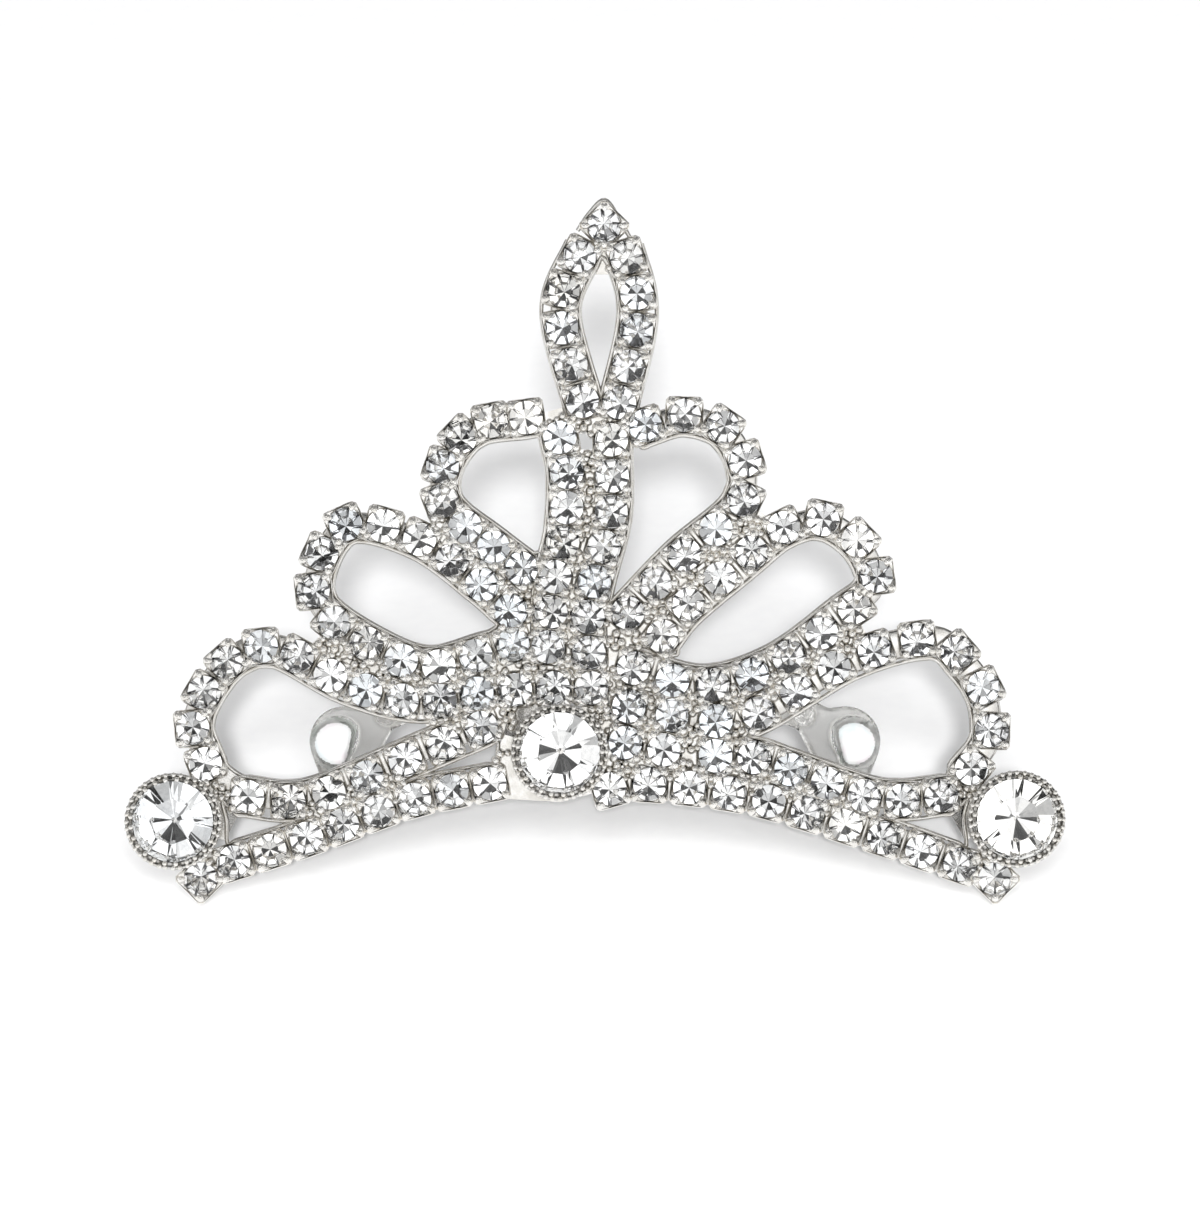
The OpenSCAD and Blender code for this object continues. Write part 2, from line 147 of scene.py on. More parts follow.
class Route:
    # a smooth line with its length, which may be asked for any place along it and past its ends
    def __init__(self, points):
        self.line = smoothLine(points)
        self.reach = [0.0]
        for a, b in zip(self.line, self.line[1:]):
            self.reach.append(self.reach[-1] + (b - a).length)
        self.length = self.reach[-1]

    def at(self, t):
        inside = min(max(t, 0.0), self.length)
        i = 1
        while i < len(self.reach) - 1 and self.reach[i] < inside:
            i += 1
        share = (inside - self.reach[i - 1]) / (self.reach[i] - self.reach[i - 1])
        place = self.line[i - 1].lerp(self.line[i], share)
        if t != inside:
            step = self.line[i] - self.line[i - 1]
            place = place + step.normalized() * (t - inside)
        return place

    def way(self, t, near=0.4):
        return (self.at(t + near) - self.at(t - near)).normalized()


for row in rows.values():
    row["route"] = Route(row["points"])
    row["gap"] = row["route"].length / (row["count"] - 1)
    row["places"] = []
    for i in range(row["count"]):
        way = row["route"].way(i * row["gap"])
        row["places"].append((row["route"].at(i * row["gap"]), math.atan2(way.y, way.x)))

# Every small cup: its spot, its turn and whether it is one of the three tips
cupSpots = [(spot, turn, False) for row in rows.values() for spot, turn in row["places"]]
cupSpots += [(Vector(spot), math.pi / 4, True) for spot in tipCups.values()]


# Meshes are gathered as piles of points and faces and made into one object each

tiny = 0.01    # keeps the points of a ring apart where it closes to a point


def newPile():
    return dict(points=[], faces=[], finish=[], tone=[])


def addShape(pile, points, faces, finish=0, tone=0.5):
    first = len(pile["points"])
    pile["points"].extend(points)
    pile["faces"].extend([tuple(first + k for k in face) for face in faces])
    pile["finish"].extend(finish if isinstance(finish, list) else [finish] * len(faces))
    pile["tone"].extend([tone] * len(points))


def addRings(pile, rings, closeStart=True, closeEnd=True, tone=0.5):
    # skins a row of rings that all have as many points
    n = len(rings[0])
    points = [p for ring in rings for p in ring]
    faces = []
    for k in range(len(rings) - 1):
        for i in range(n):
            j = (i + 1) % n
            faces.append((k * n + i, k * n + j, (k + 1) * n + j, (k + 1) * n + i))
    if closeStart:
        faces.append(tuple(range(n - 1, -1, -1)))
    if closeEnd:
        faces.append(tuple((len(rings) - 1) * n + i for i in range(n)))
    addShape(pile, points, faces, tone=tone)


def circle(r, w, count):
    return [(r * math.cos(2 * math.pi * k / count), r * math.sin(2 * math.pi * k / count), w)
            for k in range(count)]


def placed(points, spot, turn=0.0, tilt=None):
    # turns a shape in the crown's plane, tips it a little about the height that the tilt
    # gives last, and moves it to its spot
    spin = (Matrix.Translation((spot[0], spot[1], 0)) @ Matrix.Rotation(turn, 4, "Z"))
    if tilt:
        a, b, height = tilt
        centre = Vector((0, 0, height))
        spin = (spin @ Matrix.Translation(centre) @ Matrix.Rotation(a, 4, "X")
                @ Matrix.Rotation(b, 4, "Y") @ Matrix.Translation(-centre))
    return [spin @ Vector(p) for p in points]


def makePiece(name, pile, materials, nodes, softAngle=None):
    mesh = bpy.data.meshes.new(name)
    mesh.from_pydata([tuple(p) for p in pile["points"]], [], pile["faces"])
    mesh.transform(standUp)
    for material in materials:
        mesh.materials.append(material)
    mesh.polygons.foreach_set("material_index", pile["finish"])
    tone = mesh.attributes.new("tone", "FLOAT", "POINT")
    tone.data.foreach_set("value", pile["tone"])
    work = bmesh.new()
    work.from_mesh(mesh)
    bmesh.ops.recalc_face_normals(work, faces=work.faces)
    work.to_mesh(mesh)
    work.free()
    if softAngle is not None:
        mesh.polygons.foreach_set("use_smooth", [True] * len(mesh.polygons))
        mesh.set_sharp_from_angle(angle=math.radians(softAngle))
    mesh.update()
    piece = bpy.data.objects.new(name, mesh)
    bpy.context.scene.collection.objects.link(piece)
    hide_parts(*nodes)
    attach(piece, "root")
    print(name, "has", sum(len(p.vertices) - 2 for p in mesh.polygons), "triangles")
    return piece


# Materials

def newMaterial(name):
    material = bpy.data.materials.new(name)
    material.use_nodes = True
    nodes, links = material.node_tree.nodes, material.node_tree.links
    return material, nodes, links, nodes["Principled BSDF"]


def addNoise(nodes, links, scale, detail=3.0, rough=0.5):
    place = nodes.new("ShaderNodeTexCoord")
    noise = nodes.new("ShaderNodeTexNoise")
    noise.inputs["Scale"].default_value = scale
    noise.inputs["Detail"].default_value = detail
    noise.inputs["Roughness"].default_value = rough
    links.new(place.outputs["Object"], noise.inputs["Vector"])
    return noise


def addRamp(nodes, links, source, stops):
    ramp = nodes.new("ShaderNodeValToRGB")
    while len(ramp.color_ramp.elements) < len(stops):
        ramp.color_ramp.elements.new(0.5)
    for element, (place, colour) in zip(ramp.color_ramp.elements, stops):
        element.position = place
        element.color = colour if len(colour) == 4 else (*colour, 1)
    links.new(source, ramp.inputs["Fac"])
    return ramp


def addTone(nodes):
    # the shade that each cup, claw, grain or stone was given
    tone = nodes.new("ShaderNodeAttribute")
    tone.attribute_name = "tone"
    return tone.outputs["Fac"]


def addProduct(nodes, links, first, second):
    product = nodes.new("ShaderNodeVectorMath")
    product.operation = "MULTIPLY"
    links.new(first, product.inputs[0])
    links.new(second, product.inputs[1])
    return product.outputs["Vector"]


def addRange(nodes, links, source, low, high):
    spread = nodes.new("ShaderNodeMapRange")
    spread.inputs["To Min"].default_value = low
    spread.inputs["To Max"].default_value = high
    links.new(source, spread.inputs["Value"])
    return spread


def addBump(nodes, links, source, strength, distance):
    bump = nodes.new("ShaderNodeBump")
    bump.inputs["Strength"].default_value = strength
    bump.inputs["Distance"].default_value = distance
    links.new(source, bump.inputs["Height"])
    return bump


# tallest is the height, in millimetres, over which the painted shade of the metal runs
plating = dict(bright=(0.97, 0.955, 0.925), worn=(0.86, 0.835, 0.785), blotch=900, grain=7000,
               rough=(0.26, 0.06), bump=(0.2, 0.00002), dimmest=0.9, tallest=4.0)


def silverPlate(name, paintedShadeDepths):
    # painted shade: bright where it stands out, darker down between the cups; paintedShadeDepths
    # lists heights above the flat back, in millimetres, and how bright the plating is left there
    material, nodes, links, shader = newMaterial(name)
    blotch = addNoise(nodes, links, plating["blotch"], 4)
    grain = addNoise(nodes, links, plating["grain"], 3, 0.6)
    plate = addRamp(nodes, links, blotch.outputs["Fac"],
                    [(0.35, plating["worn"]), (0.6, plating["bright"])])
    up = (standUp.to_3x3() @ Vector((0, 0, 1))).normalized()
    back = (standUp @ Vector()).dot(up)
    place = nodes.new("ShaderNodeTexCoord")
    height = nodes.new("ShaderNodeVectorMath")
    height.operation = "DOT_PRODUCT"
    height.inputs[1].default_value = up
    links.new(place.outputs["Object"], height.inputs[0])
    level = addRange(nodes, links, height.outputs["Value"], 0, 1)
    level.inputs["From Min"].default_value = back
    level.inputs["From Max"].default_value = back + plating["tallest"] * 0.001
    # painted shade: darker the lower the metal lies towards the flat back
    shade = addRamp(nodes, links, level.outputs["Result"],
                    [(w / plating["tallest"], [bright] * 3) for w, bright in paintedShadeDepths])
    own = addRamp(nodes, links, addTone(nodes), [(0, [plating["dimmest"]] * 3), (1, [1.0] * 3)])
    colour = addProduct(nodes, links, plate.outputs["Color"], shade.outputs["Color"])
    colour = addProduct(nodes, links, colour, own.outputs["Color"])
    rough = addRange(nodes, links, blotch.outputs["Fac"], *plating["rough"])
    bump = addBump(nodes, links, grain.outputs["Fac"], *plating["bump"])
    links.new(colour, shader.inputs["Base Color"])
    links.new(rough.outputs["Result"], shader.inputs["Roughness"])
    links.new(bump.outputs["Normal"], shader.inputs["Normal"])
    shader.inputs["Metallic"].default_value = 1
    return material


def cutGlass():
    # hardly tinted, each stone a little bluer or warmer than the next
    look = dict(clear=(1.0, 1.0, 1.0), cool=(0.965, 0.98, 1.0), blue=(0.93, 0.965, 1.0),
                warm=(1.0, 0.985, 0.955), patch=500, rough=(0.0, 0.01), bend=1.56)
    material, nodes, links, shader = newMaterial("cutGlass")
    patch = addNoise(nodes, links, look["patch"], 2)
    body = addRamp(nodes, links, patch.outputs["Fac"],
                   [(0.35, look["cool"]), (0.55, look["clear"])])
    own = addRamp(nodes, links, addTone(nodes),
                  [(0, look["blue"]), (0.3, look["clear"]), (0.8, look["clear"]), (1, look["warm"])])
    colour = addProduct(nodes, links, body.outputs["Color"], own.outputs["Color"])
    rough = addRange(nodes, links, patch.outputs["Fac"], *look["rough"])
    links.new(colour, shader.inputs["Base Color"])
    links.new(rough.outputs["Result"], shader.inputs["Roughness"])
    shader.inputs["Transmission Weight"].default_value = 1
    shader.inputs["IOR"].default_value = look["bend"]
    return material


def stoneFoil(name, bright, dull, grain=1400, rough=(0.03, 0.0)):
    # the mirror behind a facet; in dark colours it is the painted shade of the slits
    material, nodes, links, shader = newMaterial(name)
    patch = addNoise(nodes, links, grain, 3)
    colour = addRamp(nodes, links, patch.outputs["Fac"], [(0.3, dull), (0.55, bright)])
    rough = addRange(nodes, links, patch.outputs["Fac"], *rough)
    links.new(colour.outputs["Color"], shader.inputs["Base Color"])
    links.new(rough.outputs["Result"], shader.inputs["Roughness"])
    shader.inputs["Metallic"].default_value = 1
    return material


def clearPlastic(name, look, bend=1.49, scratch=2600, bump=(0.2, 0.0004), coatRough=0.02):
    # three faint tints that flow into each other, with fine scratches in the gloss
    material, nodes, links, shader = newMaterial(name)
    flow = addNoise(nodes, links, look["flow"], 3)
    scratches = addNoise(nodes, links, scratch, 4, 0.65)
    colour = addRamp(nodes, links, flow.outputs["Fac"],
                     [(0.35, look["hazy"]), (0.5, look["clear"]), (0.64, look["other"])])
    rough = addRange(nodes, links, scratches.outputs["Fac"], *look["rough"])
    bump = addBump(nodes, links, flow.outputs["Fac"], *bump)
    links.new(colour.outputs["Color"], shader.inputs["Base Color"])
    links.new(rough.outputs["Result"], shader.inputs["Roughness"])
    links.new(bump.outputs["Normal"], shader.inputs["Normal"])
    shader.inputs["Transmission Weight"].default_value = look["through"]
    shader.inputs["IOR"].default_value = bend
    shader.inputs["Coat Weight"].default_value = 1
    shader.inputs["Coat Roughness"].default_value = coatRough
    return material


def floorCard():
    look = dict(dull=(0.9, 0.9, 0.905), pale=(0.92, 0.92, 0.922), grain=700, bump=(0.04, 0.0002),
                rough=0.9, shine=0.1)
    material, nodes, links, shader = newMaterial("floorCard")
    grain = addNoise(nodes, links, look["grain"], 4)
    colour = addRamp(nodes, links, grain.outputs["Fac"],
                     [(0.3, look["dull"]), (0.7, look["pale"])])
    bump = addBump(nodes, links, grain.outputs["Fac"], *look["bump"])
    links.new(colour.outputs["Color"], shader.inputs["Base Color"])
    links.new(bump.outputs["Normal"], shader.inputs["Normal"])
    shader.inputs["Roughness"].default_value = look["rough"]
    shader.inputs["Specular IOR Level"].default_value = look["shine"]
    return material


# painted shade darkens the metal down between the cups, and on the settings down the wall and in the
# groove by the lip
silver = silverPlate("silverPlate", paintedShadeDepths=[(0.25, 1), (0.4, 0.76), (0.9, 0.72), (1.5, 1)])
rimSilver = silverPlate("rimSilver", paintedShadeDepths=[
    (0.25, 1), (0.6, 0.95), (2.5, 0.85), (2.86, 0.6), (3.12, 1)])
glass = cutGlass()
foil = stoneFoil("stoneFoil", bright=(0.985, 0.985, 0.98), dull=(0.9, 0.9, 0.9))
# painted shade: a dark foil on the slits of the small stones, standing in for dark reflections
slitPaintedShade = stoneFoil("slitPaintedShade", bright=(0.2, 0.2, 0.21), dull=(0.08, 0.08, 0.085))
plastic = clearPlastic("clearPlastic", dict(
    hazy=(0.74, 0.72, 0.68), clear=(0.9, 0.895, 0.875), other=(0.82, 0.825, 0.8), through=1,
    rough=(0.02, 0.12), flow=160))
# painted highlight: the lens face made milky and nearly white, with faint cyan and pink tints,
# standing in for light inside the clear plastic
lensPaintedHighlight = clearPlastic("lensPaintedHighlight", dict(
    hazy=(0.86, 0.93, 0.95), clear=(0.98, 0.985, 0.985), other=(0.96, 0.91, 0.94), through=0.55,
    rough=(0.02, 0.1), flow=620))
# painted shade: a dark rim round each lens
lensRimPaintedShade = clearPlastic("lensRimPaintedShade", dict(
    hazy=(0.16, 0.17, 0.16), clear=(0.42, 0.42, 0.41), other=(0.26, 0.28, 0.26), through=0.5,
    rough=(0.03, 0.14), flow=420))


# Cut stones: a table and slanted facets of glass above. Below are the foil-backed facets,
# wide bright ones with a narrow slit of a facet between each two; in the small stones the
# slits get a dark foil, painted shade that stands in for dark reflections.
# The small ones come in nine cuts, with wider or narrower slits and deeper or flatter points,
# and each is turned and tipped a little in its cup

# slitFinish 2 gives the small stones' slits the dark foil of painted shade; the large ones keep
# bright foil
smallCut = dict(radius=1.44, table=0.78, crown=0.5, girdle=0.06, fold=8, slitFinish=2, z=1.75,
                offTurn=1.0, turn=(-0.35, 0.35), tip=4.5)
smallCuts = [dict(smallCut, slit=slit, pavilion=deep, off=off)
             for slit, off in ((0.03, 0.05), (0.045, 0.12), (0.065, 0.2))
             for deep in (1.04, 1.09, 1.14)]
largeCut = dict(radius=3.46, table=1.95, crown=0.85, pavilion=2.85, girdle=0.12,
                fold=8, slit=0.13, off=0.12, slitFinish=1, z=3.15,
                offTurn=1.0, turn=(0, 0.8), tip=1.5)


def cutStone(cut):
    # points, faces and for each face 0 for glass, 1 for bright foil and 2 for the dark foil of
    # painted shade
    r, top, fold, slit, z = (cut[k] for k in ("radius", "table", "fold", "slit", "z"))
    step = 2 * math.pi / fold
    high, low = z + cut["girdle"] / 2, z - cut["girdle"] / 2
    inner = top * math.cos(step / 2)
    slope = (cut["crown"] - cut["girdle"] / 2) / (r - inner)
    deep = cut["pavilion"] - cut["girdle"] / 2
    edge = r * math.cos(step / 2 - slit)
    points = []

    def put(radius, angle, w):
        points.append((radius * math.cos(angle), radius * math.sin(angle), w))
        return len(points) - 1

    table = [put(top, i * step, z + cut["crown"]) for i in range(fold)]
    upper, lower = [], []
    for i in range(fold):
        for turn, reach in ((-slit, edge), (slit, edge), (step / 2, r)):
            upper.append(put(r, i * step + turn, high + slope * (r - reach)))
            lower.append(put(r, i * step + turn, low + deep * (reach / edge - 1)))
    point = put(cut["off"], cut["offTurn"], low - deep)
    count = len(upper)
    faces = [tuple(table)]
    for i in range(fold):
        a, b = 3 * i, (3 * i + 3) % count
        after = table[(i + 1) % fold]
        faces.append((table[i], upper[a], upper[a + 1]))
        faces.append((table[i], upper[a + 1], upper[a + 2], upper[b], after))
    for i in range(count):
        j = (i + 1) % count
        faces.append((upper[i], lower[i], lower[j], upper[j]))
    finish = [0] * len(faces)
    for i in range(fold):
        a, b = 3 * i, (3 * i + 3) % count
        faces.append((lower[a], point, lower[a + 1]))
        faces.append((lower[a + 1], point, lower[b], lower[a + 2]))
        finish += [cut["slitFinish"], 1]
    return points, faces, finish


def tipped(cut):
    a, b = (math.radians(dice.uniform(-cut["tip"], cut["tip"])) for _ in range(2))
    return (a, b, cut["z"])


def addStone(pile, cut, shape, spot, turn=0.0):
    points, faces, finish = shape
    turned = turn + dice.uniform(*cut["turn"])
    addShape(pile, placed(points, spot, turned, tipped(cut)), faces, finish, dice.random())


def makeStones():
    # the third finish is the painted shade on the small stones' slits
    finishes = [glass, foil, slitPaintedShade]
    shapes = [cutStone(cut) for cut in smallCuts]
    for node, (names, tips) in stoneNodes.items():
        pile = newPile()
        spots = [place for name in names for place in rows[name]["places"]]
        spots += [(Vector(tipCups[tip]), math.pi / 4) for tip in tips]
        for spot, turn in spots:
            addStone(pile, smallCut, dice.choice(shapes), spot, turn)
        makePiece(node.replace("_", "-"), pile, finishes, [node])
    for node, spot in settings.items():
        pile = newPile()
        addStone(pile, largeCut, cutStone(largeCut), spot)
        makePiece(node.replace("_", "-"), pile, finishes, [node])


# Square cups with dipped sides, their corner claws bent over the stones, and small grains of
# metal that fill the gaps between neighbouring cups

cup = dict(
    halfWidth=1.64,      # half of the rounded square, seen from the front
    tipHalfWidth=1.68,   # the three tip cups are a little larger and sharper
    squareness=8.0, tipSquareness=16.0,
    foot=0.12, footShare=0.4, waist=0.9, sideTop=1.46, cornerTop=1.9, cornerPull=1.6,
    wall=0.15, ledge=1.72, ledgeDrop=0.12, seatRoom=0.02, bowl=(0.3, 0.45), around=32,
)
claw = dict(
    path=[(1.8, 0.9), (1.88, 1.45), (1.87, 1.86), (1.72, 2.1), (1.5, 2.16), (1.3, 2.06)],
    width=[0.27, 0.28, 0.29, 0.28, 0.24, 0.14],
    thick=[0.13, 0.15, 0.16, 0.16, 0.14, 0.07],
    bendFrom=1.6, around=10, unlike=0.04,
    reach=1.7, turns=(0, 9, -9, 18, -18, 27, -27), room=0.22, leastRoom=0.04,
)
gapGrain = dict(pitch=0.27, clear=0.13, apart=0.54, near=3.3, open=160, loose=0.08,
                least=0.62, most=1.15, grow=1.2, settingNear=6.0, unlike=(0.9, 1.05),
                rise=(-0.12, 0.16), riseFrom=1.0, around=10,
                shape=[(0.42, 0.42), (0.34, 1.3), (0.33, 1.6), (0.25, 1.82), (0.11, 1.93)])


def roomAt(point, own=None):
    # free space between a point and the nearest stone that isn't its own
    room = min((spot - point).length for spot, turn, tip in cupSpots if spot is not own)
    room -= smallCut["radius"]
    for spot in settings.values():
        room = min(room, (Vector(spot) - point).length - setting["outer"])
    return room


def aimed(point, angle, reach):
    return point + Vector((math.cos(angle), math.sin(angle))) * reach


def squareRadius(half, power, angle):
    c, s = abs(math.cos(angle)), abs(math.sin(angle))
    return half / (c ** power + s ** power) ** (1 / power)


def cupRings(tip):
    half = cup["tipHalfWidth"] if tip else cup["halfWidth"]
    power = cup["tipSquareness"] if tip else cup["squareness"]
    seat = smallCut["radius"] + cup["seatRoom"]
    columns = []
    for i in range(cup["around"]):
        angle = 2 * math.pi * (i + 0.5) / cup["around"]
        out = squareRadius(half, power, angle)
        corner = abs(math.sin(2 * angle)) ** cup["cornerPull"]
        top = cup["sideTop"] + (cup["cornerTop"] - cup["sideTop"]) * corner
        inner = max(out - cup["wall"], seat)
        ledge = min(top - cup["ledgeDrop"], cup["ledge"])
        # from the foot up the outside, over the lip and down to the bowl under the stone
        section = [(out * cup["footShare"], cup["foot"]), (out - 0.2, cup["foot"]),
                   (out - 0.04, cup["foot"] + 0.2), (out, cup["waist"]), (out, top - 0.12),
                   (out - 0.03, top - 0.03), ((out + inner) / 2, top),
                   (inner + 0.02, top - 0.04), (inner - 0.01, top - 0.1), (seat, ledge),
                   cup["bowl"]]
        columns.append([(r * math.cos(angle), r * math.sin(angle), w) for r, w in section])
    return [list(ring) for ring in zip(*columns)]


def clawRings(lift):
    rings = []
    for (r, w), width, thick in zip(claw["path"], claw["width"], claw["thick"]):
        i = len(rings)
        before = claw["path"][max(i - 1, 0)]
        after = claw["path"][min(i + 1, len(claw["path"]) - 1)]
        way = Vector((after[0] - before[0], after[1] - before[1])).normalized()
        across = Vector((-way.y, way.x))
        ring = []
        for k in range(claw["around"]):
            bend = 2 * math.pi * k / claw["around"]
            side, out = width * math.cos(bend), thick * math.sin(bend)
            at = Vector((r, w if w < claw["bendFrom"] else w + lift)) + across * out
            ring.append((at.x, side, at.y))
        rings.append(ring)
    return rings


def clawAngle(spot, angle):
    # the claw keeps to its corner, or leans aside where a neighbour's stone is in the way
    best, most = None, claw["leastRoom"]
    for turn in claw["turns"]:
        tried = angle + math.radians(turn)
        room = roomAt(aimed(spot, tried, claw["reach"]), spot)
        if room > claw["room"]:
            return tried
        if room > most:
            best, most = tried, room
    return best


def insideOutline(point, outline):
    inside = False
    for a, b in zip(outline, outline[1:] + outline[:1]):
        if (a[1] > point.y) != (b[1] > point.y):
            if point.x < a[0] + (b[0] - a[0]) * (point.y - a[1]) / (b[1] - a[1]):
                inside = not inside
    return inside


def isGap(point, outlines):
    # true for a place on the metal with stones on all sides of it
    if roomAt(point) < gapGrain["clear"]:
        return False
    if not any(insideOutline(point, outline) for outline in outlines):
        return False
    around = [math.atan2(spot.y - point.y, spot.x - point.x)
              for spot, turn, tip in cupSpots if (spot - point).length < gapGrain["near"]]
    around += [math.atan2(spot[1] - point.y, spot[0] - point.x) for spot in settings.values()
               if (Vector(spot) - point).length < gapGrain["settingNear"]]
    around.sort()
    if len(around) < 3:
        return False
    spans = [b - a for a, b in zip(around, around[1:])] + [around[0] + 2 * math.pi - around[-1]]
    return max(spans) < math.radians(gapGrain["open"])


def findGaps(taken):
    # tries a loose grid of places, and keeps those that lie in a gap and clear of the claws
    outlines = [webOutline(web) for web in webs]
    gaps = []
    pitch, loose = gapGrain["pitch"], gapGrain["loose"]
    left, right = min(spot.x for spot, *_ in cupSpots), max(spot.x for spot, *_ in cupSpots)
    top = max(spot.y for spot, *_ in cupSpots)
    for i in range(int(top / pitch)):
        for k in range(int((right - left) / pitch)):
            point = Vector((left + k * pitch + dice.uniform(-loose, loose),
                            i * pitch + dice.uniform(-loose, loose)))
            if not isGap(point, outlines):
                continue
            if all((point - other).length > gapGrain["apart"] for other in gaps + taken):
                gaps.append(point)
    return gaps


def addGapGrain(pile, point):
    # wider where there is more room
    size = gapGrain["least"] + roomAt(point) * gapGrain["grow"]
    size = min(size, gapGrain["most"]) * dice.uniform(*gapGrain["unlike"])
    rise = dice.uniform(*gapGrain["rise"])
    rings = [circle(r * size, w + (rise if w > gapGrain["riseFrom"] else 0), gapGrain["around"])
             for r, w in gapGrain["shape"]]
    addRings(pile, [placed(ring, point) for ring in rings], tone=dice.random())


def makeCups():
    cups, claws = newPile(), newPile()
    tops = []
    for spot, turn, tip in cupSpots:
        tone = dice.random()
        addRings(cups, [placed(ring, spot, turn) for ring in cupRings(tip)], tone=tone)
        for k in range(4):
            angle = clawAngle(spot, turn + math.pi / 4 + k * math.pi / 2)
            if angle is not None:
                tops.append(aimed(spot, angle, claw["reach"]))
                rings = clawRings(dice.uniform(-claw["unlike"], claw["unlike"]))
                addRings(claws, [placed(ring, spot, angle) for ring in rings], tone=tone)
    gaps = findGaps(tops)
    for point in gaps:
        addGapGrain(claws, point)
    print("claws", len(tops), "gap grains", len(gaps))
    makePiece("cups", cups, [silver], ["crown_frame"], softAngle=38)
    makePiece("claws", claws, [silver], ["crown_frame"], softAngle=60)


# Round settings: a plain cup with a rolled lip, a fine grained edge and a ring of grains
# pushed over the stone

setting = dict(
    section=[(0.0, 0.02), (3.6, 0.02), (3.92, 0.12), (4.04, 0.32), (4.06, 2.5), (4.12, 2.66),
             (4.13, 2.8), (4.08, 2.93), (3.96, 2.99), (3.85, 2.93), (3.76, 2.82), (3.6, 2.84),
             (3.52, 2.9), (3.48, 2.8), (3.47, 2.6), (1.5, 0.3), (0.0, 0.12)],
    around=96, outer=4.2, uneven=0.12,
    grains=[dict(count=40, size=0.25, at=(3.96, 2.98)),     # along the edge
            dict(count=25, size=0.26, at=(3.6, 3.14))],     # pushed over the stone
)


def bead(radius, rings=5, around=8):
    points = [(0, 0, radius)]
    for i in range(1, rings):
        angle = math.pi * i / rings
        for k in range(around):
            turn = 2 * math.pi * k / around
            points.append((radius * math.sin(angle) * math.cos(turn),
                           radius * math.sin(angle) * math.sin(turn), radius * math.cos(angle)))
    points.append((0, 0, -radius))
    faces = []
    for k in range(around):
        j = (k + 1) % around
        faces.append((0, 1 + k, 1 + j))
        for i in range(rings - 2):
            a = 1 + i * around
            faces.append((a + k, a + around + k, a + around + j, a + j))
        a = 1 + (rings - 2) * around
        faces.append((a + k, len(points) - 1, a + j))
    return points, faces


def makeSettings():
    pile = newPile()
    for spot in settings.values():
        rings = [circle(max(r, tiny), w, setting["around"]) for r, w in setting["section"]]
        addRings(pile, [[(spot[0] + x, spot[1] + u, w) for x, u, w in ring] for ring in rings])
        for ring in setting["grains"]:
            points, faces = bead(ring["size"])
            r, w = ring["at"]
            for i in range(ring["count"]):
                loose = dice.uniform(-setting["uneven"], setting["uneven"])
                angle = 2 * math.pi * (i + loose) / ring["count"]
                at = Vector((spot[0] + r * math.cos(angle), spot[1] + r * math.sin(angle), w))
                addShape(pile, [at + Vector(p) for p in points], faces, tone=dice.random())
    makePiece("settings", pile, [rimSilver], ["crown_frame"], softAngle=40)


# Backing ribbons behind the rows, and the plates that fill the metal between them

ribbon = dict(halfWidth=1.3, thick=0.6, shift=0.45, edge=0.24, edgeSteps=4, step=0.5,
              leastHalf=0.2)
plate = dict(under=0.07, top=0.52)

# Wires round the edges of the holes: each hole's ring runs past stones of one or two rows, by
# row, first stone, last stone and side, or through a place beside a setting. Open wires edge
# the spire and its pointed tip
rail = dict(offset=1.7, edgeOffset=1.6, side=0.2, rise=0.34, w=0.84, past=0.8, step=0.8,
            least=1.62, apart=0.45, around=10, edgeSteps=3, gableSteps=6)
holes = [
    [("spireLeft", 0, 4, 1), ("spireRight", 4, 0, -1)],
    [("topLeft", 0, 7, 1), ("columnLeft", 5, 0, -1)],
    [("topRight", 0, 8, -1), ("columnRight", 5, 0, 1)],
    [("midLeft", 0, 13, 1)],
    [("midRight", 0, 14, -1)],
    [("lowLeft", 0, 9, -1), ("baseUpLeft", 6, 0, 1)],
    [("lowRight", 0, 8, 1), ("baseUpRight", 5, 0, -1)],
    [("baseLowLeft", 0, 2, 1), ("baseUpLeft", 1, 0, -1), (-31.9, 8.9), (-31.55, 7.3)],
    [("baseLowRight", 0, 2, -1), ("baseUpRight", 1, 0, 1), (31.9, 9.1), (31.55, 7.5)],
    [("baseLowLeft", 5, 7, 1), ("baseUpLeft", 6, 4, -1)],
]
edges = [("spireLeft", 0, 4, -1), ("spireRight", 0, 4, 1)]
gable = [(-1.5, 57.7), (-0.5, 59.2), (0.85, 60.35), (2.1, 58.7), (3.1, 56.9)]

